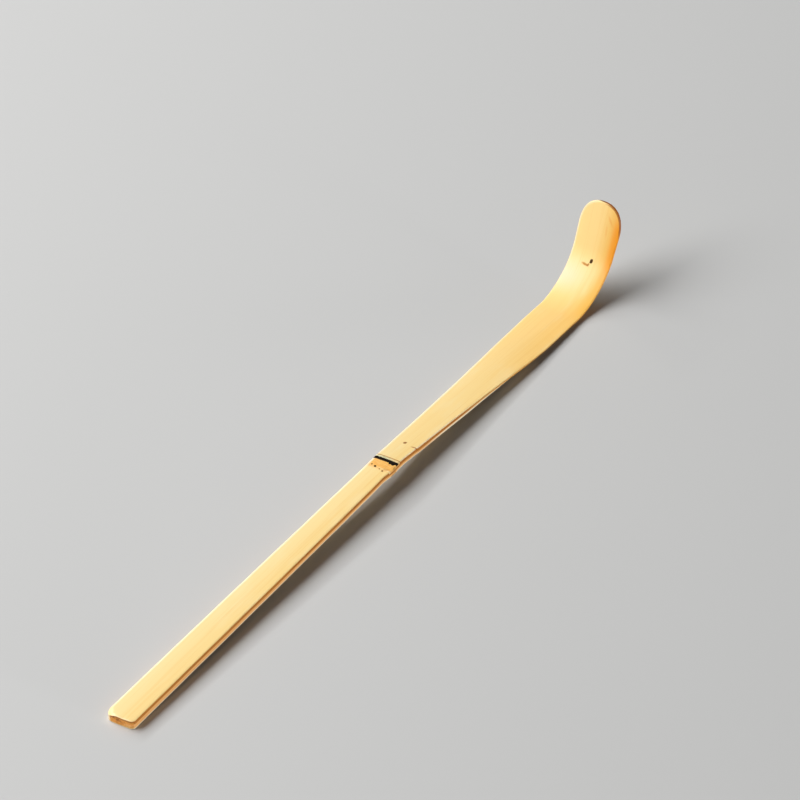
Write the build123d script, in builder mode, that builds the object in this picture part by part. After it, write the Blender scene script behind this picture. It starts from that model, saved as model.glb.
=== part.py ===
from build123d import *

import os
from math import asin, atan2, cos, degrees, hypot, radians, sin, tan

# A tea scoop carved from one strip of bamboo and bent up at its end over heat. The culm's skin
# is the upper side. A node crosses the strip about half way along, where the strip arches.
# It lies as it rests on a table: X runs from the handle's cut end to the scooping end, Y across
# the strip and Z up. The origin is under the middle of the whole scoop, on the table.
# Sizes are in millimetres and angles in degrees.

# Lengths along the crest of the upper side
handle_length = 97.0
blade_length = 68.2
tip_length = 11.6

# The arch at the node, and the bend that turns the scooping end up
arch_angle = 5.0
arch_radius = 60.0
bend_angle = 73.4
bend_radius = 15.1

# The culm wall: the upper side follows the culm's round, and the rind is one layer of it
culm_radius = 50.0
rind_thickness = 0.5

# Wood left under the rind along the crest, pared thinner towards the tip
heel_wood = 2.0
arch_wood = 1.4
bend_wood = 0.6
tip_wood = 0.5

# Widths seen from above: cut end, middle of the handle, both sides of the node, middle of the
# blade, and the scooping end
heel_width = 6.75
handle_width = 6.35
shoulder_width = 5.8
waist_width = 5.75
collar_width = 5.85
blade_width = 8.25
scoop_width = 11.1
heel_corner_radius = 1.2

# How far the shoulder and the waist lie before the sheath scar and the collar behind it, how far
# the node swells on one side, and how far before the bend the blade has its full width
shoulder_run = 9.0
waist_run = 4.0
collar_run = 1.5
node_bulge = 0.3
straight_run = 2.0

# The rounded end: its length, and two points of its edge as shares of that length and of half
# the scoop's width
rounding_length = 7.2
cheek_shares = (0.68, 0.775)
crown_shares = (0.965, 0.306)

# The node's zones, measured from the middle of the sheath scar
scar_setback = 0.5
scar_skew = 6.3
scar_width = 0.5
scar_depth = 0.25
ridge_width = 0.6
ridge_height = 0.12
band_length = 3.0
node_wood_reach = 1.0

# The root buds, in a slanting row behind the band's foot: places as shares of half the waist's
# width, and radii as shares of the largest
bud_place_shares = (0.61, 0.28, -0.17, -0.49)
bud_radius = 0.3
bud_radius_shares = (0.6, 1.0, 0.45, 0.75)
bud_row_skew = 11.2
bud_row_setback = 0.3
bud_depth = 0.2

# The stump of the cross wall, on the underside of the node
stub_foot = 2.0
stub_top = 1.2
stub_height = 0.7

# Softened edges
rim_round = 0.25
belly_round = 0.15
ridge_round = 0.1

# How far stock and cuts reach past the finished faces
cut_margin = 2.0

# The side view's stations, in a frame that lies along the handle's upper side
tip_pitch = bend_angle - arch_angle
arch_run = arch_radius * tan(radians(arch_angle / 2))
handle_run = handle_length - arch_run
bend_start = (
    handle_length + blade_length * cos(radians(arch_angle)),
    -blade_length * sin(radians(arch_angle)),
)
bend_centre = (
    bend_start[0] + bend_radius * sin(radians(arch_angle)),
    bend_start[1] + bend_radius * cos(radians(arch_angle)),
)
bend_end = (
    bend_centre[0] + bend_radius * sin(radians(tip_pitch)),
    bend_centre[1] - bend_radius * cos(radians(tip_pitch)),
)
tip_end = (
    bend_end[0] + tip_length * cos(radians(tip_pitch)),
    bend_end[1] + tip_length * sin(radians(tip_pitch)),
)

# Whole thicknesses along the crest
heel_thickness = rind_thickness + heel_wood
arch_thickness = rind_thickness + arch_wood
bend_thickness = rind_thickness + bend_wood
tip_thickness = rind_thickness + tip_wood
tip_back = (
    tip_end[0] + tip_thickness * sin(radians(tip_pitch)),
    tip_end[1] - tip_thickness * cos(radians(tip_pitch)),
)

# At rest the heel's lower edge and the belly of the bend touch the table
rise_to_bend = bend_centre[1] + heel_thickness
reach_to_bend = hypot(bend_centre[0], rise_to_bend)
handle_tilt = degrees(
    asin((bend_radius + bend_thickness) / reach_to_bend) - atan2(rise_to_bend, bend_centre[0])
)
overall_length = tip_back[0] * cos(radians(handle_tilt)) - tip_back[1] * sin(radians(handle_tilt))

# Planes that carry the drawings: the side view, and the view square onto the handle
side = Plane(
    origin=(-overall_length / 2, 0, heel_thickness * cos(radians(handle_tilt))),
    x_dir=(cos(radians(handle_tilt)), 0, sin(radians(handle_tilt))),
    z_dir=(0, -1, 0),
)
deck = Plane(origin=side.origin, x_dir=side.x_dir, z_dir=side.y_dir)
deck_up = Axis(origin=deck.origin, direction=deck.z_dir)


def square_to_strip(station, pitch):
    """The plane of the strip's cross-section at a station of the side view."""
    along = side.x_dir * cos(radians(pitch)) + side.y_dir * sin(radians(pitch))
    return Plane(origin=side.from_local_coords(station), x_dir=deck.y_dir, z_dir=along)


def across_deck(run, skew=0):
    """An upright plane across the handle or the blade, at a run from the heel."""
    along = deck.x_dir * cos(radians(skew)) + deck.y_dir * sin(radians(skew))
    return Plane(origin=deck.from_local_coords((run, 0, 0)), x_dir=deck.z_dir, z_dir=along)


heel_plane = square_to_strip((0, 0), 0)
bend_start_plane = square_to_strip(bend_start, -arch_angle)
bend_end_plane = square_to_strip(bend_end, tip_pitch)
tip_deck = Plane(
    origin=bend_end_plane.origin, x_dir=bend_end_plane.z_dir, z_dir=bend_end_plane.y_dir
)
bend_axis = Axis(origin=side.from_local_coords(bend_centre), direction=side.z_dir)


def wall_section(plane, outer, inner, width):
    """A piece of the culm wall in cross-section, cut to a width."""
    with BuildSketch(plane) as section:
        with Locations((0, -culm_radius)):
            Circle(outer)
            Circle(inner, mode=Mode.SUBTRACT)
            Rectangle(width, outer, align=(Align.CENTER, Align.MIN), mode=Mode.INTERSECT)
    return section.sketch


with BuildLine(side) as long_crest:
    handle_crest = Line((0, 0), (handle_run, 0))
    arch_crest = JernArc(handle_crest @ 1, handle_crest % 1, arch_radius, -arch_angle)
    Line(arch_crest @ 1, side.from_local_coords(bend_start))

with BuildLine(side) as whole_crest:
    add(long_crest.line)
    bend_crest = JernArc(bend_start_plane.origin, bend_start_plane.z_dir, bend_radius, bend_angle)
    Line(bend_crest @ 1, side.from_local_coords(tip_end))

# A longer crest line, to sweep whole layers past both ends
run_in_plane = square_to_strip((-cut_margin, 0), 0)
with BuildLine(side) as run_in_and_out:
    Line(run_in_plane.origin, side.origin)
    add(whole_crest.line)
    Line(whole_crest.line @ 1, whole_crest.line @ 1 + tip_deck.x_dir * cut_margin)

stock_depth = heel_thickness + cut_margin
stock_width = scoop_width + cut_margin


def border_along(solid, line):
    """The edges around the faces that a line runs along."""
    faces = [solid.faces().sort_by_distance(stretch @ 0.5)[0] for stretch in line.edges()]
    edges = [edge for face in faces for edge in face.edges()]
    return [edge for edge in edges if sum(edge.is_same(other) for other in edges) == 1]


# The outline of handle and blade, square onto the handle. The waist is on one side only.
scar_run = handle_length - scar_setback
band_foot_run = scar_run - band_length
spread_end = bend_start[0] - straight_run


def long_edge(side_sign, bulge):
    """One edge of the outline, from the heel to the bend, on the +Y or -Y side."""
    shoulder = (scar_run - shoulder_run, side_sign * shoulder_width / 2)
    waist = (scar_run - waist_run, side_sign * waist_width / 2)
    crest = (scar_run - band_length / 2, side_sign * (waist_width / 2 + bulge))
    collar = (scar_run + collar_run, side_sign * collar_width / 2)
    handle_edge = ThreePointArc(
        (0, side_sign * heel_width / 2),
        (handle_length / 2, side_sign * handle_width / 2),
        shoulder,
    )
    blade_edge = Spline(
        collar,
        ((collar[0] + spread_end) / 2, side_sign * blade_width / 2),
        (spread_end, side_sign * scoop_width / 2),
        tangents=[
            (blade_length / 2, side_sign * (blade_width - collar_width) / 2),
            (1, 0),
        ],
    )
    Spline(
        shoulder,
        waist,
        crest,
        collar,
        tangents=[handle_edge % 1, blade_edge % 0],
    )
    Line(blade_edge @ 1, (bend_centre[0], side_sign * scoop_width / 2))


with BuildSketch(deck) as long_outline:
    with BuildLine():
        long_edge(1, 0)
        long_edge(-1, node_bulge)
        Line((0, -heel_width / 2), (0, heel_width / 2))
        Line((bend_centre[0], -scoop_width / 2), (bend_centre[0], scoop_width / 2))
    make_face()
    heel_corners = long_outline.vertices().group_by(Axis.X)[0]
    fillet(heel_corners, radius=heel_corner_radius)

flank_length = tip_length - rounding_length
with BuildSketch(tip_deck) as tip_outline:
    with BuildLine() as tip_edge:
        flank = Line((0, scoop_width / 2), (flank_length, scoop_width / 2))
        Spline(
            flank @ 1,
            (flank_length + rounding_length * cheek_shares[0], scoop_width / 2 * cheek_shares[1]),
            (flank_length + rounding_length * crown_shares[0], scoop_width / 2 * crown_shares[1]),
            (tip_length, 0),
            tangents=[(1, 0), (0, -1)],
        )
        mirror(tip_edge.line, about=Plane.XZ)
        Line((0, scoop_width / 2), (0, -scoop_width / 2))
    make_face()

# The underside as seen from the side, and what the knife takes away below it
belly_start = (
    bend_start[0] - bend_thickness * sin(radians(arch_angle)),
    bend_start[1] - bend_thickness * cos(radians(arch_angle)),
)
tip_beyond = (
    tip_back[0] + cut_margin * cos(radians(tip_pitch)),
    tip_back[1] + cut_margin * sin(radians(tip_pitch)),
)
with BuildLine(side) as underside:
    under_handle = Line((0, -heel_thickness), (handle_run, -arch_thickness))
    under_arch = JernArc(
        under_handle @ 1, side.x_dir, arch_radius - arch_thickness, -arch_angle
    )
    Line(under_arch @ 1, side.from_local_coords(belly_start))
    belly = JernArc(
        side.from_local_coords(belly_start),
        bend_start_plane.z_dir,
        bend_radius + bend_thickness,
        bend_angle,
    )
    Line(belly @ 1, side.from_local_coords(tip_back))

with BuildLine(side) as pared_outline:
    add(underside.line)
    Polyline(
        tip_back,
        tip_beyond,
        (tip_back[0] + stock_depth, tip_beyond[1]),
        (tip_back[0] + stock_depth, belly_start[1] - stock_depth),
        (0, belly_start[1] - stock_depth),
        (0, -heel_thickness),
    )
pared_away = make_face(pared_outline.edges())

# The strip as it is carved: handle and blade, then the bend, then the tip, all pared from below
tip_stock = wall_section(bend_end_plane, culm_radius, culm_radius - stock_depth, stock_width)
with BuildPart() as carved_tip:
    extrude(tip_stock, amount=tip_length + cut_margin)
    extrude(tip_outline.sketch, amount=stock_depth, both=True, mode=Mode.INTERSECT)

long_stock = wall_section(heel_plane, culm_radius, culm_radius - stock_depth, stock_width)
bend_stock = wall_section(bend_start_plane, culm_radius, culm_radius - stock_depth, scoop_width)
with BuildPart() as carved_strip:
    sweep(long_stock, long_crest.line)
    extrude(long_outline.sketch, amount=culm_radius, both=True, mode=Mode.INTERSECT)
    revolve(bend_stock, axis=bend_axis, revolution_arc=bend_angle)
    add(carved_tip.part)
    extrude(pared_away, amount=stock_width, both=True, mode=Mode.SUBTRACT)
    fillet(border_along(carved_strip, whole_crest.line), radius=rim_round)
    fillet(border_along(carved_strip, underside.line), radius=belly_round)


def upper_layer(depth, cover):
    """What lies over a depth below the culm's skin, along the whole strip, up to a cover above it."""
    with BuildPart() as layer:
        sweep(
            wall_section(run_in_plane, culm_radius + cover, culm_radius - depth, stock_width),
            run_in_and_out.line,
        )
    return layer.part


# The two tissues of the strip: rind above, wood below
rind_layer = upper_layer(rind_thickness, cut_margin)
with BuildPart() as rind_strip:
    add(carved_strip.part)
    add(rind_layer, mode=Mode.INTERSECT)

with BuildPart() as wood_strip:
    add(carved_strip.part)
    add(rind_layer, mode=Mode.SUBTRACT)

# Borders of the node's zones
band_foot = across_deck(band_foot_run)
scar_foot = across_deck(scar_run - scar_width / 2, scar_skew)
scar_head = across_deck(scar_run + scar_width / 2, scar_skew)
ridge_head = across_deck(scar_run + scar_width / 2 + ridge_width, scar_skew)
node_wood_foot = across_deck(band_foot_run - node_wood_reach)
node_wood_head = across_deck(scar_run + scar_width / 2 + ridge_width + node_wood_reach)

# The black scar is let into the rind, and the pale ridge beside it stands a little proud
scar_layer = upper_layer(scar_depth, cut_margin)
with BuildPart() as sheath_scar:
    add(rind_strip.part)
    add(scar_layer, mode=Mode.INTERSECT)
    split(bisect_by=scar_foot, keep=Keep.TOP)
    split(bisect_by=scar_head, keep=Keep.BOTTOM)

with BuildPart() as scar_ridge:
    add(upper_layer(scar_depth, ridge_height))
    split(bisect_by=scar_head, keep=Keep.TOP)
    split(bisect_by=ridge_head, keep=Keep.BOTTOM)
    extrude(long_outline.sketch, amount=stock_depth, both=True, mode=Mode.INTERSECT)
    fillet(scar_ridge.faces().sort_by(deck_up)[-1].edges(), radius=ridge_round)

# The root buds, small plugs in the rind along the band's foot
bud_layer = upper_layer(bud_depth, cut_margin)
with BuildSketch(deck) as bud_spots:
    for place_share, radius_share in zip(bud_place_shares, bud_radius_shares):
        place = place_share * waist_width / 2
        run = band_foot_run - bud_row_setback + place * tan(radians(bud_row_skew))
        with Locations((run, place)):
            Circle(bud_radius * radius_share)

with BuildPart() as root_dots:
    extrude(bud_spots.sketch, amount=stock_depth, both=True)
    add(rind_strip.part, mode=Mode.INTERSECT)
    add(bud_layer, mode=Mode.INTERSECT)

with BuildPart() as intranode_band:
    add(rind_strip.part)
    split(bisect_by=band_foot, keep=Keep.TOP)
    split(bisect_by=ridge_head, keep=Keep.BOTTOM)
    add(sheath_scar.part, mode=Mode.SUBTRACT)
    add(scar_ridge.part, mode=Mode.SUBTRACT)
    add(root_dots.part, mode=Mode.SUBTRACT)

with BuildPart() as handle_rind:
    add(rind_strip.part)
    split(bisect_by=band_foot, keep=Keep.BOTTOM)
    add(root_dots.part, mode=Mode.SUBTRACT)

with BuildPart() as blade_rind:
    add(rind_strip.part)
    split(bisect_by=ridge_head, keep=Keep.TOP)
    split(bisect_by=bend_start_plane, keep=Keep.BOTTOM)

with BuildPart() as scoop_rind:
    add(rind_strip.part)
    split(bisect_by=bend_start_plane, keep=Keep.TOP)

# The stump of the cross wall widens into the wood as it nears the underside
stub_run = scar_run - band_length / 2
with BuildSketch(side) as stub_side:
    with BuildLine():
        Polyline(
            (stub_run - stub_foot / 2, -arch_thickness),
            (stub_run - stub_top / 2, stub_height - arch_thickness),
            (stub_run + stub_top / 2, stub_height - arch_thickness),
            (stub_run + stub_foot / 2, -arch_thickness),
            (stub_run + stub_foot / 2, -arch_thickness - cut_margin),
            (stub_run - stub_foot / 2, -arch_thickness - cut_margin),
            close=True,
        )
    make_face()

with BuildPart() as diaphragm_stub:
    extrude(stub_side.sketch, amount=stock_width, both=True)
    add(wood_strip.part, mode=Mode.INTERSECT)

with BuildPart() as node_wood:
    add(wood_strip.part)
    split(bisect_by=node_wood_foot, keep=Keep.TOP)
    split(bisect_by=node_wood_head, keep=Keep.BOTTOM)
    add(diaphragm_stub.part, mode=Mode.SUBTRACT)

with BuildPart() as handle_wood:
    add(wood_strip.part)
    split(bisect_by=node_wood_foot, keep=Keep.BOTTOM)

with BuildPart() as blade_wood:
    add(wood_strip.part)
    split(bisect_by=node_wood_head, keep=Keep.TOP)
    split(bisect_by=bend_start_plane, keep=Keep.BOTTOM)

with BuildPart() as scoop_wood:
    add(wood_strip.part)
    split(bisect_by=bend_start_plane, keep=Keep.TOP)

os.makedirs("parts", exist_ok=True)

pieces = {
    "handle_rind": handle_rind,
    "handle_wood": handle_wood,
    "intranode_band": intranode_band,
    "sheath_scar": sheath_scar,
    "scar_ridge": scar_ridge,
    "root_dots": root_dots,
    "node_wood": node_wood,
    "diaphragm_stub": diaphragm_stub,
    "blade_rind": blade_rind,
    "blade_wood": blade_wood,
    "scoop_rind": scoop_rind,
    "scoop_wood": scoop_wood,
}
for name, piece in pieces.items():
    piece.part.label = name
    export_step(piece.part, f"parts/{name}.step")

print("overall length", round(overall_length, 2), "handle tilt", round(handle_tilt, 3))
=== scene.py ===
from math import ceil, copysign, cos, exp, hypot, radians, sin, sqrt, tan

import bmesh
import bpy
from mathutils import Matrix, Vector, noise


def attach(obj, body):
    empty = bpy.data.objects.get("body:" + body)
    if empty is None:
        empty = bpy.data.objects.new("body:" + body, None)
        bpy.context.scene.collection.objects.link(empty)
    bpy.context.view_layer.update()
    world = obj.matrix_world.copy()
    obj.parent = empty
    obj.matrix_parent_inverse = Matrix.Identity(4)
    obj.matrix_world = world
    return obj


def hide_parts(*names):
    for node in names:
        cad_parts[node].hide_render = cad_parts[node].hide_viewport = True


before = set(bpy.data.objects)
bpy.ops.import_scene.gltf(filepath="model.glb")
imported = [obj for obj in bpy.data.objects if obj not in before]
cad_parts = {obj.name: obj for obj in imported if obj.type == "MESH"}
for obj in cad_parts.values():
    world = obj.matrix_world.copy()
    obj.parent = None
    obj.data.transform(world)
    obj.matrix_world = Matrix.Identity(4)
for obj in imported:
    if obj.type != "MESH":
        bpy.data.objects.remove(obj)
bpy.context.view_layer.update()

# A tea scoop carved from one strip of bamboo and bent up over heat. Every piece starts as the same
# straight blank with eased edges. It is sawn to its zone, scored with lines, and then carved and
# bent by one rule, so that neighbours share their borders. Blanks are in millimetres: X along the
# strip from the heel, Y across, Z up from the skin. The finished pieces are in metres.
MM = 0.001

# The side view along the crest of the skin
HANDLE_LENGTH = 97.0
BLADE_LENGTH = 68.2
TIP_LENGTH = 11.6
ARCH_ANGLE = radians(5.0)
ARCH_RADIUS = 60.0
BEND_ANGLE = radians(73.4)
BEND_RADIUS = 15.1
ARCH_RUN = ARCH_RADIUS * tan(ARCH_ANGLE / 2)
STRETCHES = (
    (HANDLE_LENGTH - ARCH_RUN, 0.0),
    (ARCH_RADIUS * ARCH_ANGLE, -ARCH_ANGLE),
    (BLADE_LENGTH - ARCH_RUN, 0.0),
    (BEND_RADIUS * BEND_ANGLE, BEND_ANGLE),
    (TIP_LENGTH, 0.0),
)
ARCH_START = STRETCHES[0][0]
ARCH_END = ARCH_START + STRETCHES[1][0]
BEND_START = ARCH_END + STRETCHES[2][0]
BEND_END = BEND_START + STRETCHES[3][0]
TIP_END = BEND_END + TIP_LENGTH

# How the scoop lies: the heel's lower edge and the belly of the bend are on the table
TILT = radians(1.588)
HEEL_PLACE = (-92.515, 2.499)

# The culm's round, the rind, and the strip's thickness along the crest
CULM_RADIUS = 50.0
RIND = 0.5
THICKNESS = (
    (0.0, 2.5), (ARCH_START, 1.9), (ARCH_END, 1.9),
    (BEND_START, 1.1), (BEND_END, 1.1), (TIP_END, 1.0),
)

# Half widths along the strip, on the +Y and on the -Y side
LEFT_EDGE = (
    (0.0, 3.375), (20.0, 3.31), (48.5, 3.175), (70.0, 3.036), (87.5, 2.9), (92.5, 2.875),
    (95.0, 2.875), (98.0, 2.925), (102.0, 3.061), (110.2, 3.317), (120.3, 3.66), (130.8, 4.125),
    (140.4, 4.677), (150.4, 5.224), (158.5, 5.498), (163.3, 5.55), (197.0, 5.55),
)
RIGHT_EDGE = (
    (0.0, 3.375), (20.0, 3.31), (48.5, 3.175), (70.0, 3.036), (85.0, 2.921), (88.6, 2.87),
    (91.0, 2.79), (92.2, 2.84), (93.5, 3.02), (95.0, 3.174), (96.5, 3.02), (98.0, 2.925),
    (102.0, 3.061), (110.2, 3.317), (120.3, 3.66), (130.8, 4.125), (140.4, 4.677), (150.4, 5.224),
    (158.5, 5.2), (166.0, 5.1), (175.0, 5.12), (184.0, 5.3), (189.0, 5.5), (197.0, 5.55),
)

# The node's zones, how much the scar runs askew, and the stump of the culm's cross wall, which is
# grown into the wood from below
BAND_FOOT = 93.5
SCAR_FOOT = 96.05
SCAR_HEAD = 96.8
RIDGE_HEAD = 97.4
NODE_WOOD_FOOT = 92.5
NODE_WOOD_HEAD = 98.35
SCAR_SKEW = tan(radians(6.3))
SCAR_DEPTH = 0.25
STUB_RUN = 95.0
STUB_HALF_FOOT = 1.0
STUB_HALF_TOP = 0.6
STUB_HEIGHT = 0.7

# The blank, and the zones at its edges and its underside that keep their shape when it is carved
HALF_WIDTH = 5.55
DEPTH = 2.5
HEEL_CORNER = 1.2
TIP_CORNER = 5.5
RIM_EASE = 0.25
BELLY_EASE = 0.15
EDGE_ZONE = 1.4
BELLY_ZONE = 0.3

# The tip's curve is longer and fuller than a circle's
ROUNDING = 7.2
ROUNDING_POWER = 2.4

# Each feature below fades in or out between two places, the one where it is nothing and the one where
# it is whole: along the strip (RUN), across it (SIDE), inwards from the rim (IN), or below the skin
# (DOWN). A pace is how fast a noise changes in a millimetre, and a row is where in it it is read.

# The knife's work: the edges waver a little, and never outwards
WAVER = 0.03
WAVER_PACE = 0.11
WAVER_ROW = 7.0
WAVER_SHIFT = 0.02
WAVER_RUN = (0.0, 6.0)

# The +Y rim is eased wider than the blank's
WIDE_EASE = 0.16
WIDE_EASE_OUTER = (0.0, 0.12)
WIDE_EASE_INNER = (1.2, 0.3)
WIDE_EASE_SIDE = (0.0, 2.5)

# The -Y rim has a nick beyond the node, where the knife stopped, and is cut back up to it
NICK = 0.22
NICK_RUN = 104.15
NICK_HALF = 0.45
NICK_IN = (0.7, 0.1)
NICK_DOWN = (-1.1, -0.4)
CUT_BACK = 0.1
CUT_BACK_FOOT_RUN = (98.0, 99.5)
CUT_BACK_HEAD_RUN = (104.2, 103.85)

# The sides of the blade are undercut in two steps, and most of that is lost again at the tip
UNDERCUTS = ((0.3, (120.0, 138.0)), (0.5, (132.0, 152.0)))
UNDERCUT_LOST = 0.85
UNDERCUT_LOST_RUN = (184.0, 190.0)
UNDERCUT_DOWN = (-0.15, -DEPTH)
UNDERCUT_IN = (1.5, 0.0)

# The underside has long shallow facets
FACET = 0.06
FACET_PACES = (0.06, 0.55)
FACET_ROW = 3.0

# Where the node swells under the skin: run, height and spread of the swell at the scar, and of the
# one at the root buds. Before the bend the skin rises sooner than the belly.
NODE_SWELLS = ((96.9, 0.10, 1.1), (94.6, 0.05, 1.5))
EARLY_RISE = 0.4
EARLY_RISE_RUN = (152.0, 166.0)
EARLY_RISE_END_RUN = (184.0, 172.0)

# The heel: its +Y corner is worn down, its upper edge is chipped low, and its end is sawn askew
HEEL_RUN = (3.0, 0.0)
WEAR = 0.5
WEAR_IN = (0.9, 0.0)
WEAR_SIDE = (0.6, 2.6)
WEAR_RUN = (1.8, 0.5)
WEAR_DOWN = (-2.2, 0.0)
CHIP = 0.12
CHIP_SIDE = -0.9
CHIP_HALF = 1.4
CHIP_RUN = (0.9, 0.0)
SAWN_ASKEW = 0.5
SAWN_ASKEW_SIDE = (2.0, -3.3)

# Where the scar's border begins to run askew, and where that ends again beyond the ridge
ASKEW_RUN = (BAND_FOOT, SCAR_FOOT)
ASKEW_END_RUN = (RIDGE_HEAD + 4.0, RIDGE_HEAD)

# Points that are nearer than LEVEL are at one level, points nearer than MERGED are one point, and
# SLACK lets a border take in the points on it. A normal steeper than these belongs to a piece's
# broad side, or to its end at the heel. Edges that turn by more than SHARP_ANGLE look sharp.
LEVEL = 0.001
MERGED = 0.004
SLACK = 0.01
BROAD_SIDE = 0.3
HEEL_END = -0.6
SHARP_ANGLE = radians(38)


def smooth(value, low, high):
    """0 below low, 1 above high, and a soft rise between them; low may be the higher one."""
    share = min(max((value - low) / (high - low), 0.0), 1.0)
    return share * share * (3.0 - 2.0 * share)


def along(stations, at):
    """The value of a table of stations at a run, on a smooth curve through them."""
    places = [station[0] for station in stations]
    last = len(stations) - 2
    i = min(max(sum(place <= at for place in places) - 1, 0), last)
    (x0, y0), (x1, y1) = stations[i], stations[i + 1]
    slope = (y1 - y0) / (x1 - x0)
    before = slope if i == 0 else (y1 - stations[i - 1][1]) / (x1 - stations[i - 1][0])
    after = slope if i == last else (stations[i + 2][1] - y0) / (stations[i + 2][0] - x0)
    t = (at - x0) / (x1 - x0)
    bulge = (before - slope) * t * (1 - t) ** 2 - (after - slope) * t * t * (1 - t)
    return y0 + slope * (at - x0) + bulge * (x1 - x0)


def straight(stations, at):
    """The value of a table of stations at a run, on straight lines between them."""
    for (x0, y0), (x1, y1) in zip(stations, stations[1:]):
        if at <= x1:
            break
    return y0 + (y1 - y0) * (at - x0) / (x1 - x0)


def drawn_in(value, full, wanted, kept):
    """Shrinks a distance from the middle, while its outermost stretch keeps its shape."""
    inner = full - kept
    if abs(value) <= inner:
        return value * (wanted - kept) / inner
    return copysign(abs(value) - full + wanted, value)


def place(run, side, height):
    """Where a point of the strip lies in the scoop, from its run, its side and its height."""
    x = z = pitch = 0.0
    left = run
    for i, (length, turn) in enumerate(STRETCHES):
        part = left if i == len(STRETCHES) - 1 else min(left, length)
        if turn:
            radius = length / turn
            ahead = pitch + part / radius
            x += radius * (sin(ahead) - sin(pitch))
            z -= radius * (cos(ahead) - cos(pitch))
            pitch = ahead
        else:
            x += part * cos(pitch)
            z += part * sin(pitch)
        left -= part
        if left <= 0.0:
            break
    x -= height * sin(pitch)
    z += height * cos(pitch)
    return Vector((
        (HEEL_PLACE[0] + x * cos(TILT) - z * sin(TILT)) * MM,
        side * MM,
        (HEEL_PLACE[1] + x * sin(TILT) + z * cos(TILT)) * MM,
    ))


def inset(x, y):
    """How far inside the blank's outline a point lies."""
    corner = HEEL_CORNER if x < TIP_END / 2 else TIP_CORNER
    over_x = abs(x - TIP_END / 2) - (TIP_END / 2 - corner)
    over_y = abs(y) - (HALF_WIDTH - corner)
    outside = hypot(max(over_x, 0.0), max(over_y, 0.0))
    return corner - outside - min(max(over_x, over_y), 0.0)


def rounded(x, y):
    """Turns the blank's round corners at the tip into the scooping end's fuller, longer curve."""
    if x <= BEND_END:
        return x, y
    start = TIP_END - HALF_WIDTH
    ahead = (x - start) / HALF_WIDTH
    if ahead <= 0.0:
        return BEND_END + (x - BEND_END) * (TIP_LENGTH - ROUNDING) / (start - BEND_END), y
    across = abs(y / HALF_WIDTH)
    full = (ahead ** ROUNDING_POWER + across ** ROUNDING_POWER) ** (1 / ROUNDING_POWER)
    swell = hypot(ahead, across) / full
    return TIP_END - ROUNDING + ahead * swell * ROUNDING, y * swell


def pared(run, y, z, rim):
    """Where a point lies across the strip once the knife has pared its edges."""
    edge = along(LEFT_EDGE if y > 0 else RIGHT_EDGE, run)
    waver = WAVER * noise.noise(Vector((run * WAVER_PACE, copysign(WAVER_ROW, y), 0.0)))
    edge += min(waver - WAVER_SHIFT, 0.0) * smooth(run, *WAVER_RUN)
    side = drawn_in(y, HALF_WIDTH, edge, EDGE_ZONE)
    if z > -RIM_EASE - SLACK and rim < WIDE_EASE_INNER[0]:
        eased = WIDE_EASE * smooth(rim, *WIDE_EASE_OUTER) * smooth(rim, *WIDE_EASE_INNER)
        side -= eased * smooth(y, *WIDE_EASE_SIDE)
    if y < 0 and rim < NICK_IN[0]:
        nick = NICK * smooth(abs(run - NICK_RUN), NICK_HALF, 0.0)
        side += nick * smooth(rim, *NICK_IN) * smooth(z, *NICK_DOWN)
        side += CUT_BACK * smooth(run, *CUT_BACK_FOOT_RUN) * smooth(run, *CUT_BACK_HEAD_RUN)
    undercut = sum(deep * smooth(run, *where) for deep, where in UNDERCUTS)
    undercut *= 1.0 - UNDERCUT_LOST * smooth(run, *UNDERCUT_LOST_RUN)
    undercut *= smooth(z, *UNDERCUT_DOWN) * smooth(rim, *UNDERCUT_IN)
    return side - copysign(undercut, y)


def carved(x, y, z):
    """Carves a point of the blank: run along the crest, side, height and depth below the skin."""
    run, y = rounded(x, y)
    rim = inset(x, y)
    side = pared(run, y, z, rim)
    # The skin is round across as the culm was, and the underside is flat but for its facets
    crown = CULM_RADIUS - sqrt(CULM_RADIUS ** 2 - side ** 2)
    wood = straight(THICKNESS, run) - RIND
    if z >= -RIND:
        depth = z
        height = z - crown
    else:
        down = drawn_in(-RIND - z, DEPTH - RIND, wood, BELLY_ZONE)
        depth = -RIND - down
        height = depth - crown * (1.0 - down / wood)
        pace, side_pace = FACET_PACES
        facet = 0.5 + 0.5 * noise.noise(Vector((run * pace, side * side_pace, FACET_ROW)))
        height += FACET * facet * smooth(down, wood / 2, wood)
    swell = sum(high * exp(-((run - at) / spread) ** 2) for at, high, spread in NODE_SWELLS)
    height += swell * smooth(z, -RIND, 0.0)
    rise = EARLY_RISE * smooth(run, *EARLY_RISE_RUN) * smooth(run, *EARLY_RISE_END_RUN)
    height += rise * smooth(z, -DEPTH, -RIND)
    heelward = smooth(run, *HEEL_RUN)
    if heelward > 0.0:
        worn = WEAR * smooth(rim, *WEAR_IN) ** 2 * smooth(side, *WEAR_SIDE)
        height -= worn * smooth(run, *WEAR_RUN) * smooth(z, *WEAR_DOWN)
        chipped = CHIP * smooth(abs(side - CHIP_SIDE), CHIP_HALF, 0.0)
        height -= chipped * smooth(run, *CHIP_RUN) * smooth(z, -RIND, 0.0)
        run += SAWN_ASKEW * smooth(side, *SAWN_ASKEW_SIDE) * heelward
    skewed = smooth(run, *ASKEW_RUN) * smooth(run, *ASKEW_END_RUN)
    return run - side * SCAR_SKEW * skewed, side, height, depth


def everything(bm):
    """All points, edges and faces of a mesh."""
    return bm.verts[:] + bm.edges[:] + bm.faces[:]


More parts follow.
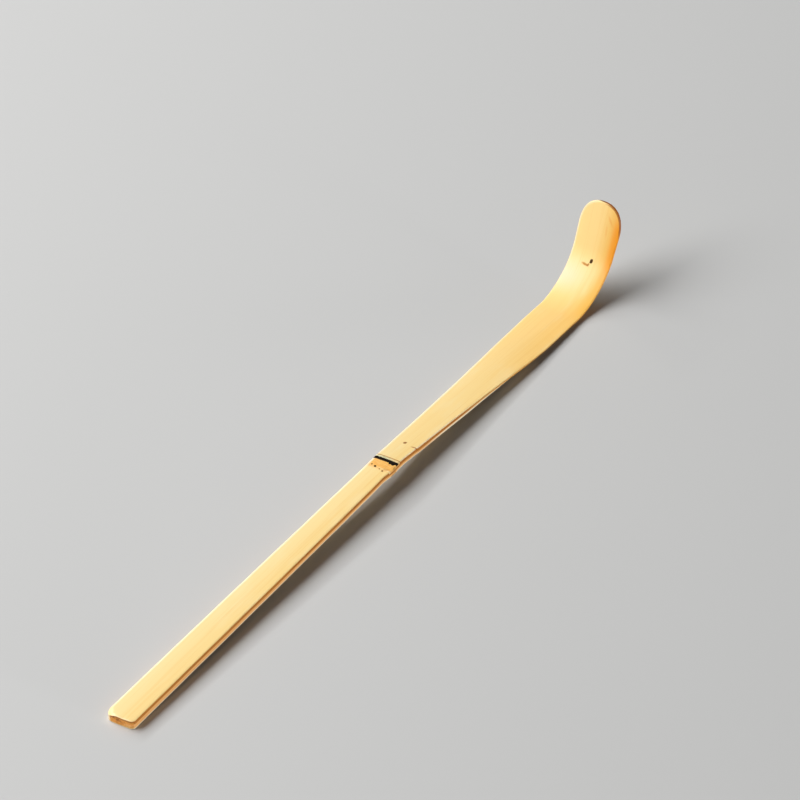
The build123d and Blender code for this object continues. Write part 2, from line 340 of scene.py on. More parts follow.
def blank():
    """The straight blank, with its corners rounded and its edges eased."""
    bm = bmesh.new()
    bmesh.ops.create_cube(bm, size=1.0)
    bmesh.ops.scale(bm, vec=(TIP_END, 2 * HALF_WIDTH, DEPTH), verts=bm.verts)
    bmesh.ops.translate(bm, vec=(TIP_END / 2, 0, -DEPTH / 2), verts=bm.verts)
    for corner, segments, at_tip in ((HEEL_CORNER, 8, False), (TIP_CORNER, 28, True)):
        upright = [
            e for e in bm.edges
            if abs(e.verts[0].co.z - e.verts[1].co.z) > DEPTH / 2
            and all((v.co.x > TIP_END / 2) == at_tip for v in e.verts)
        ]
        bmesh.ops.bevel(
            bm, geom=upright, offset=corner, offset_type="OFFSET", segments=segments,
            profile=0.5, affect="EDGES", material=-1,
        )
    for level, ease, segments in ((0.0, RIM_EASE, 4), (-DEPTH, BELLY_EASE, 3)):
        rim = [e for e in bm.edges if all(abs(v.co.z - level) < LEVEL for v in e.verts)]
        bmesh.ops.bevel(
            bm, geom=rim, offset=ease, offset_type="OFFSET", segments=segments,
            profile=0.5, affect="EDGES", material=-1,
        )
    return bm


BLANK = blank()


def sawn(*cuts):
    """A copy of the blank, sawn off beyond each cut, with the sawn faces closed."""
    bm = BLANK.copy()
    for point, outward in cuts:
        cut = bmesh.ops.bisect_plane(
            bm, geom=everything(bm), plane_co=point, plane_no=outward, clear_outer=True,
        )
        rim = [e for e in cut["geom_cut"] if isinstance(e, bmesh.types.BMEdge)]
        bmesh.ops.edgeloop_fill(bm, edges=rim)
    return bm


def scored(bm, direction, places):
    """Scores lines all round, square to a direction."""
    for at in places:
        point = [at * part for part in direction]
        bmesh.ops.bisect_plane(bm, geom=everything(bm), plane_co=point, plane_no=direction)


def ruled(bm, step):
    """Divides the long edges evenly, so that the strip can bend."""
    slabs = {}
    for e in bm.edges:
        a, b = (v.co for v in e.verts)
        if abs(a.x - b.x) > step * 1.5 and abs(a.y - b.y) < LEVEL and abs(a.z - b.z) < LEVEL:
            ends = (round(min(a.x, b.x), 2), round(max(a.x, b.x), 2))
            slabs.setdefault(ends, []).append(e)
    for (low, high), edges in slabs.items():
        bmesh.ops.subdivide_edges(bm, edges=edges, cuts=ceil((high - low) / step) - 1)


def heel(point):
    """The cut that is a zone's end towards the heel."""
    return (point, 0, 0), (-1, 0, 0)


def head(point):
    """The cut that is a zone's end towards the tip."""
    return (point, 0, 0), (1, 0, 0)


# The cuts that keep the rind, the wood below it, or all above the floor of the scar
ABOVE = ((0, 0, -RIND), (0, 0, -1))
BELOW = ((0, 0, -RIND), (0, 0, 1))
OVER_SCAR = ((0, 0, -SCAR_DEPTH), (0, 0, -1))

# Where lines are scored: across the strip, down the wood's sides, and at the heel, the nick, the
# tip, the scar's frayed edge and the stump. The strip is ruled every so many millimetres, more
# finely where it bends.
X, Y, Z = (1, 0, 0), (0, 1, 0), (0, 0, 1)
ACROSS = (-5.15, -4.6, -4.0, -3.2, -2.4, -1.6, -0.8, 0.0, 0.8, 1.6, 2.4, 3.2, 4.0, 4.6, 5.15)
WOOD_LINES = (-1.1, -1.8)
THIN_WOOD_LINES = (-1.5,)
HEEL_LINES = (0.12, 0.3, 0.5, 0.8, 1.3, 1.8)
NICK_LINES = (103.65, 103.9, 104.05, 104.15, 104.25, 104.4, 104.65)
TIP_LINES = [TIP_END - 5.6 + 0.35 * i for i in range(16)]
FRAY_LINES = [0.2 * i for i in range(-26, 27)]
STUB_LINES = [
    STUB_RUN + way * half for way in (-1, 1) for half in (STUB_HALF_TOP, STUB_HALF_FOOT)
]

STRIP_STEP = 0.8
BEND_STEP = 0.4

# The nodes whose broad side is on top, as the rind's is
TOP_NODES = ("intranode_band", "sheath_scar", "scar_ridge")


def finished(name, node, bm, finishes, shape=None):
    """Carves and bends a sawn blank into its place and shows it.

    Its finishes are for its broad side, its narrow sides, and its end at the heel. The points keep
    where they lie on the strip, how far inside its outline, and how far above its underside.
    """
    bmesh.ops.remove_doubles(bm, verts=bm.verts, dist=MERGED)
    bm.normal_update()
    broadly = 1 if node.endswith("rind") or node in TOP_NODES else -1
    for face in bm.faces:
        face.smooth = True
        if broadly * face.normal.z > BROAD_SIDE:
            face.material_index = 0
        else:
            face.material_index = 2 if face.normal.x < HEEL_END else 1
    grain = bm.verts.layers.float_vector.new("grain")
    rim = bm.verts.layers.float.new("rim")
    foot = bm.verts.layers.float.new("foot")
    for v in bm.verts:
        x, y, z = v.co
        if shape:
            x, y, z = shape(x, y, z)
        run, side, height, depth = carved(x, y, z)
        v[grain] = (run, side, depth)
        v[rim] = inset(x, y)
        v[foot] = depth + straight(THICKNESS, run)
        v.co = place(run, side, height)
    shown(name, node, bm, finishes)


def shown(name, node, bm, finishes):
    """Makes a piece's object, rides it on the scoop's body and hides the solid it stands for."""
    bmesh.ops.recalc_face_normals(bm, faces=bm.faces)
    mesh = bpy.data.meshes.new(name)
    bm.to_mesh(mesh)
    bm.free()
    mesh.set_sharp_from_angle(angle=SHARP_ANGLE)
    for finish in finishes:
        mesh.materials.append(finish)
    piece = bpy.data.objects.new(name, mesh)
    bpy.context.scene.collection.objects.link(piece)
    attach(piece, "root")
    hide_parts(node)


def colour(hexes):
    """An sRGB colour such as #c8a060, as the linear value that a shader takes."""
    parts = [int(hexes[i:i + 2], 16) / 255 for i in (1, 3, 5)]
    return [c / 12.92 if c <= 0.04045 else ((c + 0.055) / 1.055) ** 2.4 for c in parts] + [1.0]


def part_of(tree, kind, links=(), **settings):
    """Adds a shader node: settings are its properties, links its sockets' values or sources."""
    made = tree.nodes.new(kind)
    for name, value in settings.items():
        setattr(made, name, value)
    for socket, value in dict(links).items():
        if isinstance(value, bpy.types.NodeSocket):
            tree.links.new(value, made.inputs[socket])
        else:
            made.inputs[socket].default_value = value
    return made


def finish(name, roughness, specular=0.5):
    """A new finish: its material, node tree and shader, and where on the strip a point lies.

    The last is a vector in millimetres: along the strip, across it, and the depth below the skin.
    """
    made = bpy.data.materials.new(name)
    made.use_nodes = True
    tree = made.node_tree
    shader = tree.nodes["Principled BSDF"]
    shader.inputs["Roughness"].default_value = roughness
    shader.inputs["Specular IOR Level"].default_value = specular
    grain = part_of(tree, "ShaderNodeAttribute", attribute_name="grain").outputs["Vector"]
    return made, tree, shader, grain


def askew(tree, run, side):
    """The run along the strip, measured askew as the scar runs."""
    return part_of(
        tree, "ShaderNodeMath", {0: side, 1: SCAR_SKEW, 2: run}, operation="MULTIPLY_ADD",
    ).outputs[0]


def fibres(tree, grain, length, width, offset=0.0):
    """A pattern of fibres of a length and a width in millimetres, about 0.3 to 0.7."""
    drawn = part_of(
        tree, "ShaderNodeVectorMath",
        {0: grain, 1: (1 / length, 1 / width, 1 / width), 2: (offset, offset, offset)},
        operation="MULTIPLY_ADD",
    )
    pattern = part_of(
        tree, "ShaderNodeTexNoise",
        {"Vector": drawn.outputs[0], "Scale": 1.0, "Detail": 2.0, "Roughness": 0.6},
    )
    return pattern.outputs[0]


# A mark goes as deep as this, which is through the whole strip
THROUGH_AND_THROUGH = 1000.0


def mark(tree, grain, run, side, size, turn=0.0, ragged=0.8):
    """How far from a mark's middle a point lies, in shares of the mark's two half sizes."""
    turned = part_of(
        tree, "ShaderNodeMapping",
        {
            "Vector": grain, "Location": (run, side, 0.0), "Rotation": (0.0, 0.0, radians(turn)),
            "Scale": (*size, THROUGH_AND_THROUGH),
        },
        vector_type="TEXTURE",
    )
    far = part_of(
        tree, "ShaderNodeVectorMath", {0: turned.outputs[0]}, operation="LENGTH",
    ).outputs["Value"]
    rough = fibres(tree, grain, 0.3, 0.15, run)
    return part_of(
        tree, "ShaderNodeMath", {0: rough, 1: ragged, 2: far}, operation="MULTIPLY_ADD",
    ).outputs[0]


def dried(tree, shader, *spots):
    """Makes the skin rough in its dry spots, so that they don't shine."""
    nearest, *others = spots
    for spot in others:
        nearest = part_of(
            tree, "ShaderNodeMath", {0: nearest, 1: spot}, operation="MINIMUM",
        ).outputs[0]
    waxy = shader.inputs["Roughness"].default_value
    rough = part_of(
        tree, "ShaderNodeMapRange",
        {"Value": nearest, "From Min": 1.4, "From Max": 1.05, "To Min": waxy, "To Max": 1.0},
    )
    tree.links.new(rough.outputs[0], shader.inputs["Roughness"])


def painted(tree, shader, ground, *layers):
    """Lays colours over a ground, each by its share and where its values rise from low to high."""
    tone = colour(ground)
    for hexes, share, *rises in layers:
        for value, low, high in rises:
            share = part_of(
                tree, "ShaderNodeMapRange",
                {"Value": value, "From Min": low, "From Max": high, "To Max": share},
                interpolation_type="SMOOTHSTEP",
            ).outputs[0]
        tone = part_of(
            tree, "ShaderNodeMix", {0: share, 6: tone, 7: colour(hexes)}, data_type="RGBA",
        ).outputs[2]
    tree.links.new(tone, shader.inputs["Base Color"])


def relief(tree, shader, height, depth):
    """Raises a pattern by a depth in millimetres."""
    raised = part_of(
        tree, "ShaderNodeBump", {"Height": height, "Strength": 1.0, "Distance": depth * MM},
    )
    tree.links.new(raised.outputs[0], shader.inputs["Normal"])


# Bamboo skin, scraped and rubbed smooth: pale straw, waxy, with fine fibres along the strip. The
# real fibres are about 0.1 mm wide and are drawn twice as wide here, so that they show. The heat
# of the bending has toasted the blade a deeper yellow, and the -Y side of the scoop orange; that
# orange is partly painted shade, where the scoop's -Y side turns away from the lamp. The eased rims
# are paled with painted highlight, a cream painted highlight lies on the bend, and an orange line
# of painted shade lies where the skin steps down off the node's lip.
skin, tree, shader, grain = finish("rubbed bamboo skin", 0.42, 0.4)
run, side, _ = part_of(tree, "ShaderNodeSeparateXYZ", {0: grain}).outputs
slanted = askew(tree, run, side)
rim = part_of(tree, "ShaderNodeAttribute", attribute_name="rim").outputs["Fac"]
fine = fibres(tree, grain, 28.0, 0.2)
broad = fibres(tree, grain, 45.0, 0.9, 5.0)
patches = fibres(tree, grain, 16.0, 4.0, 9.0)
dash = mark(tree, grain, 104.12, 0.15, (0.54, 0.38), -29.0)
streak = mark(tree, grain, 180.25, 0.95, (0.36, 1.1), -7.0, 0.7)
hook = mark(tree, grain, 180.35, 0.1, (0.55, 0.32), -25.0, 0.6)
speck = mark(tree, grain, 181.4, -0.38, (0.66, 0.44), -11.0, 0.7)
dried(tree, shader, dash, streak, hook, speck)
painted(
    tree, shader, "#fce09e",
    ("#fbd98e", 0.75, (side, 1.5, -2.6)),
    ("#ffdd94", 0.7, (run, 97.0, 112.0)),
    ("#ffd482", 0.8, (run, 125.0, 165.0)),
    ("#fcc868", 0.5, (run, 125.0, 160.0), (side, 1.0, -4.5)),
    ("#ffdc91", 0.85, (run, 168.0, 182.0)),
    ("#f8c05c", 0.85, (side, 0.2, -4.2), (run, 160.0, 180.0)),
    # toasted orange on the scoop's -Y side, partly painted shade where it turns from the lamp
    ("#f89a12", 0.97, (side, -2.9, -5.0), (run, 171.0, 186.0), (run, 196.0, 190.5)),
    ("#f0b440", 0.6, (side, -2.4, -4.4), (run, 164.0, 171.0), (run, 182.0, 173.0)),
    # painted highlight: cream on the bend, strongest towards the +Y side
    ("#eedac0", 0.55, (side, -3.2, 5.2), (run, 170.5, 177.0), (run, 182.5, 176.0)),
    ("#f2ba58", 0.16, (broad, 0.46, 0.64), (side, 2.5, -1.0)),
    ("#feeab6", 0.25, (patches, 0.5, 0.7), (run, 186.0, 176.0)),
    ("#e6b060", 0.25, (fine, 0.56, 0.74)),
    ("#f4ac4c", 0.7, (slanted, 92.7, 93.7), (slanted, 97.0, 96.0)),
    # painted highlights: the eased rims paler where the lamp catches them, on both sides and at the
    # heel
    ("#fff0d0", 0.5, (rim, 0.55, 0.25), (side, 1.6, 2.5), (run, 168.0, 130.0), (run, 1.2, 3.0)),
    ("#ffeed4", 0.3, (rim, 0.5, 0.2), (side, 1.0, 2.5), (run, 172.0, 186.0)),
    ("#fff0d0", 0.5, (rim, 0.4, 0.2), (side, -1.6, -2.5), (run, 97.0, 99.0), (run, 130.0, 112.0)),
    ("#fff0d0", 0.3, (rim, 0.3, 0.15), (side, 2.4, 1.6), (run, 1.2, 0.5)),
    ("#a8601a", 0.9, (rim, 0.34, 0.18), (run, 188.5, 191.0), (side, 0.6, -2.4)),
    # painted shade: an orange line where the skin steps down off the lip
    ("#b0641c", 0.85, (slanted, 97.42, 97.54), (slanted, 97.78, 97.64)),
    ("#a85a24", 0.85, (mark(tree, grain, 104.0, -2.45, (0.2, 1.0), 17.0, 0.5), 1.25, 0.8)),
    ("#ec9c38", 0.5, (mark(tree, grain, 192.3, -2.7, (2.0, 0.45), 34.0, 0.5), 1.3, 0.3)),
    ("#f0a644", 0.4, (mark(tree, grain, 189.6, -2.2, (2.4, 0.4), 6.0, 0.5), 1.3, 0.3)),
    ("#8a4a04", 0.9, (dash, 1.45, 1.0)),
    ("#c07c2c", 0.8, (streak, 1.4, 0.8)),
    ("#a85e1c", 0.7, (hook, 1.3, 0.8)),
    ("#3c2000", 0.97, (speck, 1.4, 1.05)),
)
relief(tree, shader, fine, 0.012)

# The rind where the knife split it: dense dark fibres, orange-brown, with a dry sheen. On the -Y side
# of the scoop the heat left it orange, and dark again round the tip. From late in the blade on, its
# sides are painted dark brown: painted shade, standing for the dark line under the strip's edge.
# Painted highlight makes its +Y side cream round the scoop, and cream also marks the heel's worn +Y
# corner, there partly painted highlight.
edge, tree, shader, grain = finish("split rind", 0.5, 0.2)
run, side, depth = part_of(tree, "ShaderNodeSeparateXYZ", {0: grain}).outputs
fine = fibres(tree, grain, 20.0, 0.12)
painted(
    tree, shader, "#bc7422",
    ("#985214", 0.7, (fine, 0.42, 0.6)),
    ("#e8a848", 0.9, (run, 120.0, 136.0), (depth, -0.22, -0.36)),
    # painted shade: the sides dark brown from late in the blade on, for the dark line under the edge
    ("#6a4416", 0.9, (run, 142.0, 153.0)),
    ("#f09c2c", 0.95, (run, 160.0, 174.0), (side, 0.0, -2.0)),
    ("#a45c18", 0.95, (run, 188.5, 191.0), (side, 1.0, -1.0)),
    # painted highlight: the +Y side cream round the scoop
    ("#fbe2b4", 0.9, (run, 172.0, 192.0), (side, 0.0, 2.0)),
    # cream round the heel's worn +Y corner, partly painted highlight
    ("#fbe2b4", 0.85, (run, 1.6, 1.0), (side, 1.8, 2.8)),
)
relief(tree, shader, fine, 0.03)

# The pared sides of the wood: brown beside the rind, paler below. The cream along the eased lower
# edge is a painted highlight, and from late in the blade on the sides are painted dark brown as
# painted shade, the dark line under the strip's edge. The heel's worn +Y corner is cream, partly as
# painted highlight.
wood_edge, tree, shader, grain = finish("pared wood side", 0.55, 0.2)
run, side, depth = part_of(tree, "ShaderNodeSeparateXYZ", {0: grain}).outputs
foot = part_of(tree, "ShaderNodeAttribute", attribute_name="foot").outputs["Fac"]
fine = fibres(tree, grain, 24.0, 0.16)
painted(
    tree, shader, "#f6ba74",
    ("#e29e52", 0.6, (fine, 0.45, 0.62)),
    ("#b66e20", 0.92, (depth, -1.1, -0.9)),
    ("#f2c078", 0.9, (run, 118.0, 132.0)),
    # painted highlight: cream along the eased lower edge
    ("#fff0cc", 0.8, (foot, 0.5, 0.25), (run, 112.0, 102.0)),
    ("#fff0cc", 0.9, (foot, 0.9, 0.5), (run, 104.0, 116.0), (run, 148.0, 130.0)),
    # painted shade: the sides dark brown from late in the blade on, for the dark line under the edge
    ("#6a4416", 0.9, (run, 142.0, 153.0)),
    ("#f09c2c", 0.9, (run, 164.0, 176.0), (side, 0.0, -2.0)),
    ("#a45c18", 0.95, (run, 188.5, 191.0), (side, 1.0, -1.0)),
    # cream round the heel's worn +Y corner, partly painted highlight
    ("#fbe2b4", 0.85, (run, 1.6, 1.0), (side, 1.8, 2.8)),
)
relief(tree, shader, fine, 0.03)

# The pared underside: pale inner wood, with the brown ends of cut fibre bundles as long flecks
wood, tree, shader, grain = finish("pared bamboo wood", 0.6)
fine = fibres(tree, grain, 18.0, 0.16)
flecks = fibres(tree, grain, 9.0, 0.3, 3.0)
patches = fibres(tree, grain, 20.0, 3.0, 7.0)
painted(
    tree, shader, "#f6dcae",
    ("#ecc68c", 0.7, (patches, 0.42, 0.62)),
    ("#d8a866", 0.5, (fine, 0.5, 0.68)),
    ("#a87440", 0.7, (flecks, 0.6, 0.68)),
)
relief(tree, shader, flecks, -0.03)

# End grain at the sawn heel: cut fibre bundles as brown dots and blotches, darkest under the skin,
# and a pale painted highlight along the eased lower edge. Its +Y corner is cream where it is worn,
# partly as painted highlight.
end, tree, shader, grain = finish("sawn end grain", 0.65)
_, side, depth = part_of(tree, "ShaderNodeSeparateXYZ", {0: grain}).outputs
foot = part_of(tree, "ShaderNodeAttribute", attribute_name="foot").outputs["Fac"]
patches = fibres(tree, grain, 1.0, 0.9, 4.0)
blotches = fibres(tree, grain, 0.9, 0.75, 8.0)
bundles = part_of(
    tree, "ShaderNodeTexVoronoi", {"Vector": grain, "Scale": 2.6, "Randomness": 1.0}, feature="F1",
).outputs["Distance"]
painted(
    tree, shader, "#f4a548",
    ("#f8c47c", 0.7, (side, -0.4, -2.6), (depth, -0.9, -1.6)),
    ("#d0822e", 0.6, (patches, 0.42, 0.6)),
    ("#b06a28", 0.3, (bundles, 0.42, 0.2)),
    ("#8c4c18", 0.8, (blotches, 0.42, 0.56), (depth, -1.7, -0.9), (side, -2.0, -0.6)),
    ("#7c4414", 0.6, (depth, -0.75, -0.4)),
    # painted highlight: a pale line along the eased lower edge
    ("#f0dca4", 0.9, (foot, 0.42, 0.2)),
    # cream at the worn +Y corner, partly painted highlight
    ("#fbe2b4", 0.85, (side, 2.0, 2.7)),
)
relief(tree, shader, blotches, 0.04)

# The ring of the node between the scar and the root buds: orange, smoother, with cross-grain. A
# painted highlight pales its eased +Y rim.
band, tree, shader, grain = finish("node band", 0.42)
run, side, depth = part_of(tree, "ShaderNodeSeparateXYZ", {0: grain}).outputs
slanted = askew(tree, run, side)
rim = part_of(tree, "ShaderNodeAttribute", attribute_name="rim").outputs["Fac"]
rings = fibres(tree, grain, 0.35, 2.2)
patches = fibres(tree, grain, 1.4, 1.0, 2.0)
fine = fibres(tree, grain, 9.0, 0.2, 6.0)
painted(
    tree, shader, "#fac064",
    ("#f4ac4c", 0.6, (patches, 0.42, 0.62)),
    ("#fdd186", 0.5, (rings, 0.52, 0.66)),
    ("#dc9036", 0.35, (fine, 0.52, 0.68)),
    ("#e8a860", 0.7, (depth, -0.12, -0.3)),
    ("#fde3a4", 0.9, (slanted, 93.95, 93.3)),
    # painted highlight on the eased +Y rim
    ("#fff0d0", 0.6, (rim, 0.45, 0.25), (side, 1.6, 2.5)),
    ("#bc7422", 0.95, (depth, -0.16, -0.26), (side, 1.6, 2.5)),
    ("#b8842c", 0.6, (mark(tree, grain, 95.35, -3.15, (0.6, 0.35)), 1.4, 0.9)),
    ("#cc8438", 0.5, (mark(tree, grain, 93.9, -1.9, (0.45, 0.9), 30.0), 1.5, 0.9)),
    ("#5a3410", 0.85, (slanted, 95.85, 96.05), (patches, 0.4, 0.52)),
)
relief(tree, shader, rings, 0.03)

# The line where the culm's sheath fell off: corky and black
bark, tree, shader, grain = finish("sheath scar cork", 0.9, 0.1)
crumbs = fibres(tree, grain, 0.15, 0.15)
painted(tree, shader, "#130d08", ("#34220f", 0.8, (crumbs, 0.5, 0.7)))
relief(tree, shader, crumbs, 0.08)

# The lip beyond the scar: the same skin, greyer and greenish where it was sheltered by the sheath
ridge, tree, shader, grain = finish("sheltered skin lip", 0.42)
_, side, _ = part_of(tree, "ShaderNodeSeparateXYZ", {0: grain}).outputs
fine = fibres(tree, grain, 0.4, 0.5)
painted(
    tree, shader, "#ecdfae",
    ("#b2b282", 0.75, (fine, 0.42, 0.56)),
    ("#f2c47c", 0.6, (side, 0.0, -2.0)),
)
relief(tree, shader, fine, 0.03)

# Root buds: dry brown stubs cut flush
bud, tree, shader, grain = finish("cut root bud", 0.9, 0.1)
_, side, _ = part_of(tree, "ShaderNodeSeparateXYZ", {0: grain}).outputs
crumbs = fibres(tree, grain, 0.1, 0.1)
painted(
    tree, shader, "#2c1606",
    ("#8c5018", 0.8, (side, 1.2, 1.5)),
    ("#a8682a", 0.85, (side, 0.2, -0.2)),
    ("#6a4018", 0.7, (crumbs, 0.52, 0.66)),
)
relief(tree, shader, crumbs, 0.05)

# The stump of the cross wall: hard cross-grained wood, browner than the rest
septum, tree, shader, grain = finish("pared cross wall", 0.6)
patches = fibres(tree, grain, 0.8, 0.8)
rings = fibres(tree, grain, 0.3, 2.0, 2.0)
painted(
    tree, shader, "#d2a468",
    ("#b4824a", 0.8, (patches, 0.42, 0.62)),
    ("#8c6034", 0.5, (rings, 0.55, 0.7)),
)
relief(tree, shader, patches, 0.05)

# The handle, from the sawn heel to the node
bm = sawn(head(BAND_FOOT), ABOVE)
scored(bm, Y, ACROSS)
scored(bm, X, HEEL_LINES)
ruled(bm, STRIP_STEP)
finished("handle_skin", "handle_rind", bm, (skin, edge, end))

bm = sawn(head(NODE_WOOD_FOOT), BELOW)
scored(bm, Y, ACROSS)
scored(bm, Z, WOOD_LINES)
scored(bm, X, HEEL_LINES)
ruled(bm, STRIP_STEP)
finished("handle_flesh", "handle_wood", bm, (wood, wood_edge, end))


# The node's band, stepped down to the floor that the scar and its lip lie on
SCAR_STEP = 0.01


def stepped(x, y, z):
    """Lowers the band under the scar and the lip."""
    return x, y, min(z, -SCAR_DEPTH) if x > SCAR_FOOT + SCAR_STEP / 2 else z


bm = sawn(heel(BAND_FOOT), head(RIDGE_HEAD), ABOVE)
scored(bm, Y, ACROSS)
scored(bm, X, (SCAR_FOOT, SCAR_FOOT + SCAR_STEP))
ruled(bm, 0.25)
finished("node_band", "intranode_band", bm, (band, band, band), stepped)

# The scar, which stands a little proud and is frayed towards the heel, with three larger blobs:
# the side and the reach of each
SCAR_PROUD = 0.05
FRAY = 0.08
FRAY_WAVER = 0.16
FRAY_PACE = 2.2
FRAY_ROW = 4.0
BLOBS = ((-3.3, 0.45), (-4.0, 0.25), (-4.65, 0.4))


def frayed(x, y, z):
    """Frays the scar's heelward edge over the band."""
    fray = FRAY + FRAY_WAVER * noise.noise(Vector((y * FRAY_PACE, FRAY_ROW, 0.0)))
    for at, reach in BLOBS:
        fray += reach * smooth(abs(y - at), 0.55, 0.1)
    share = smooth(x, SCAR_HEAD, SCAR_FOOT)
    return x - fray * share, y, z + SCAR_PROUD * smooth(z, -SCAR_DEPTH, 0.0)


bm = sawn(heel(SCAR_FOOT), head(SCAR_HEAD), OVER_SCAR)
scored(bm, Y, FRAY_LINES)
ruled(bm, 0.1)
finished("sheath_scar_line", "sheath_scar", bm, (bark, bark, bark), frayed)

# The lip beyond the scar, rounded over from one side to the other
LIP_PROUD = 0.12


def crowned(x, y, z):
    """Raises the lip in the middle of its width."""
    share = (x - SCAR_HEAD) / (RIDGE_HEAD - SCAR_HEAD)
    swell = LIP_PROUD * sqrt(max(4 * share * (1 - share), 0.0))
    return x, y, z + swell * smooth(z, -SCAR_DEPTH, 0.0)


bm = sawn(heel(SCAR_HEAD), head(RIDGE_HEAD), OVER_SCAR)
scored(bm, Y, ACROSS)
ruled(bm, 0.08)
finished("scar_lip", "scar_ridge", bm, (ridge, ridge, ridge), crowned)

# The blade, from the node to the bend
bm = sawn(heel(RIDGE_HEAD), head(BEND_START), ABOVE)
scored(bm, Y, ACROSS)
scored(bm, X, NICK_LINES)
ruled(bm, STRIP_STEP)
finished("blade_skin", "blade_rind", bm, (skin, edge, end))

bm = sawn(heel(NODE_WOOD_HEAD), head(BEND_START), BELOW)
scored(bm, Y, ACROSS)
scored(bm, Z, WOOD_LINES)
ruled(bm, STRIP_STEP)
finished("blade_flesh", "blade_wood", bm, (wood, wood_edge, end))

# The scooping end, bent up over heat
bm = sawn(heel(BEND_START), ABOVE)
scored(bm, Y, ACROSS)
scored(bm, X, TIP_LINES)
ruled(bm, BEND_STEP)
finished("scoop_skin", "scoop_rind", bm, (skin, edge, end))

bm = sawn(heel(BEND_START), BELOW)
scored(bm, Y, ACROSS)
scored(bm, Z, THIN_WOOD_LINES)
scored(bm, X, TIP_LINES)
ruled(bm, BEND_STEP)
finished("scoop_flesh", "scoop_wood", bm, (wood, wood_edge, end))


# The wood inside the node, notched for the stump of the cross wall that is grown into it
def notched(x, y, z):
    """Lifts the node wood's underside over the stump."""
    if z < -DEPTH + 0.5 and abs(x - STUB_RUN) < STUB_HALF_TOP + SLACK:
        return x, y, z + STUB_HEIGHT
    return x, y, z


bm = sawn(heel(NODE_WOOD_FOOT), head(NODE_WOOD_HEAD), BELOW)
scored(bm, Y, ACROSS)
scored(bm, X, STUB_LINES)
ruled(bm, 0.6)
finished("node_flesh", "node_wood", bm, (wood, wood_edge, end), notched)


def tapered(x, y, z):
    """Narrows the stump towards the wood that it is grown into."""
    share = smooth(z, -DEPTH + 0.3, -DEPTH + 0.4)
    half = STUB_HALF_FOOT + (STUB_HALF_TOP - STUB_HALF_FOOT) * share
    return STUB_RUN + (x - STUB_RUN) * half / STUB_HALF_FOOT, y, z


bm = sawn(
    heel(STUB_RUN - STUB_HALF_FOOT), head(STUB_RUN + STUB_HALF_FOOT),
    ((0, 0, -DEPTH + STUB_HEIGHT), (0, 0, 1)),
)
scored(bm, Y, ACROSS)
finished("cross_wall_stump", "diaphragm_stub", bm, (septum, septum, septum), tapered)

# The root buds, cut flush, on the lower border of the band: side and radius of each
BUDS = ((1.8, 0.21), (0.8, 0.34), (-0.5, 0.16), (-1.45, 0.26))
BUD_HEIGHT = 0.3
BUD_MIDDLE = -0.13
BUD_PROUD = 0.05
BUD_TAPER = 0.8
BUD_RUN = BAND_FOOT - 0.15
BUD_SKEW = tan(radians(11.2))

bm = bmesh.new()
grain = bm.verts.layers.float_vector.new("grain")
for side, radius in BUDS:
    made = bmesh.ops.create_cone(
        bm, cap_ends=True, segments=20,
        radius1=radius, radius2=radius * BUD_TAPER, depth=BUD_HEIGHT,
    )["verts"]
    run = BUD_RUN + side * BUD_SKEW
    for v in made:
        height = v.co.z + BUD_MIDDLE
        v[grain] = (run + v.co.x, side + v.co.y, height)
        crown = (side + v.co.y) ** 2 / (2 * CULM_RADIUS)
        v.co = place(run + v.co.x, side + v.co.y, height - crown + BUD_PROUD)
shown("root_buds", "root_dots", bm, (bud,))

# The stage: a sheet of matt grey paper
floor_mesh = bpy.data.meshes.new("floor")
bm = bmesh.new()
bmesh.ops.create_grid(bm, x_segments=2, y_segments=2, size=2.0)
bm.to_mesh(floor_mesh)
bm.free()
floor = bpy.data.objects.new("floor", floor_mesh)
bpy.context.scene.collection.objects.link(floor)
paper, _, shader, _ = finish("grey paper", 0.9, 0.2)
shader.inputs["Base Color"].default_value = colour("#c8c8c7")
floor_mesh.materials.append(paper)


def towards(azimuth, elevation):
    """The direction to something seen at an azimuth from +X and an elevation, in degrees."""
    azimuth, elevation = radians(azimuth), radians(elevation)
    return Vector((cos(azimuth) * cos(elevation), sin(azimuth) * cos(elevation), sin(elevation)))


def lamp(name, azimuth, elevation, distance, size, power):
    """A soft lamp turned to the scoop, its longer size along the scoop: in metres and watts."""
    data = bpy.data.lights.new(name, "AREA")
    data.shape = "ELLIPSE"
    data.size, data.size_y = size
    data.energy = power
    made = bpy.data.objects.new(name, data)
    back = towards(azimuth, elevation)
    long_way = (Vector(X) - back * back.x).normalized()
    made.location = back * distance
    made.rotation_euler = Matrix((long_way, back.cross(long_way), back)).transposed().to_euler()
    bpy.context.scene.collection.objects.link(made)


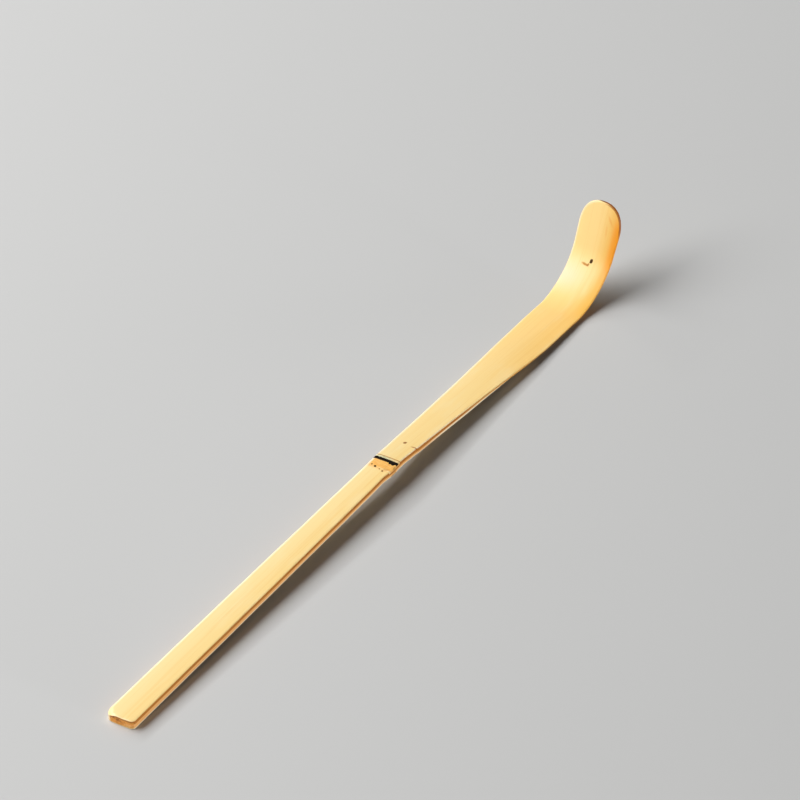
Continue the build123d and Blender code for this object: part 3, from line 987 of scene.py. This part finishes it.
# A broad key lamp from behind, a narrow one that draws the crisper shadow, and a low fill in front
lamp("key", 121, 44, 1.6, (2.1, 0.95), 37)
lamp("side", 76, 31, 1.6, (1.1, 0.16), 7)
lamp("fill", -90, 1.5, 2.2, (0.4, 0.2), 33)

# The room gives the scoop little light, but is pale where the camera or a reflection shows it
world = bpy.data.worlds.new("studio")
bpy.context.scene.world = world
world.use_nodes = True
tree = world.node_tree
tree.nodes.clear()
rays = part_of(tree, "ShaderNodeLightPath").outputs
seen = rays["Is Camera Ray"]
for ray in ("Is Glossy Ray", "Is Transmission Ray"):
    seen = part_of(
        tree, "ShaderNodeMath", {0: seen, 1: rays[ray]}, operation="MAXIMUM",
    ).outputs[0]
room = part_of(
    tree, "ShaderNodeBackground", {"Color": colour("#ffffff"), "Strength": 0.04},
).outputs[0]
backdrop = part_of(
    tree, "ShaderNodeBackground", {"Color": colour("#d0d0cf"), "Strength": 1.0},
).outputs[0]
mixed = part_of(tree, "ShaderNodeMixShader", {0: seen, 1: room, 2: backdrop}).outputs[0]
part_of(tree, "ShaderNodeOutputWorld", {"Surface": mixed})

# The camera, at the photograph's angle: its lens in picture widths, where it is seen from, and the
# point on the floor that it looks at, in degrees and metres
SENSOR_WIDTH = 36.0
LENS_IN_WIDTHS = 4441.8 / 800.0
CAMERA_AZIMUTH = -144.925
CAMERA_ELEVATION = 39.99
CAMERA_DISTANCE = 1.0064
LOOKED_AT = Vector((0.02768, 0.01283, 0.0))

camera_data = bpy.data.cameras.new("camera")
camera_data.sensor_width = SENSOR_WIDTH
camera_data.lens = LENS_IN_WIDTHS * SENSOR_WIDTH
camera = bpy.data.objects.new("camera", camera_data)
back = towards(CAMERA_AZIMUTH, CAMERA_ELEVATION)
camera.location = LOOKED_AT + back * CAMERA_DISTANCE
camera.rotation_euler = back.to_track_quat("Z", "Y").to_euler()
bpy.context.scene.collection.objects.link(camera)
bpy.context.scene.camera = camera
bpy.context.scene.view_settings.view_transform = "Standard"
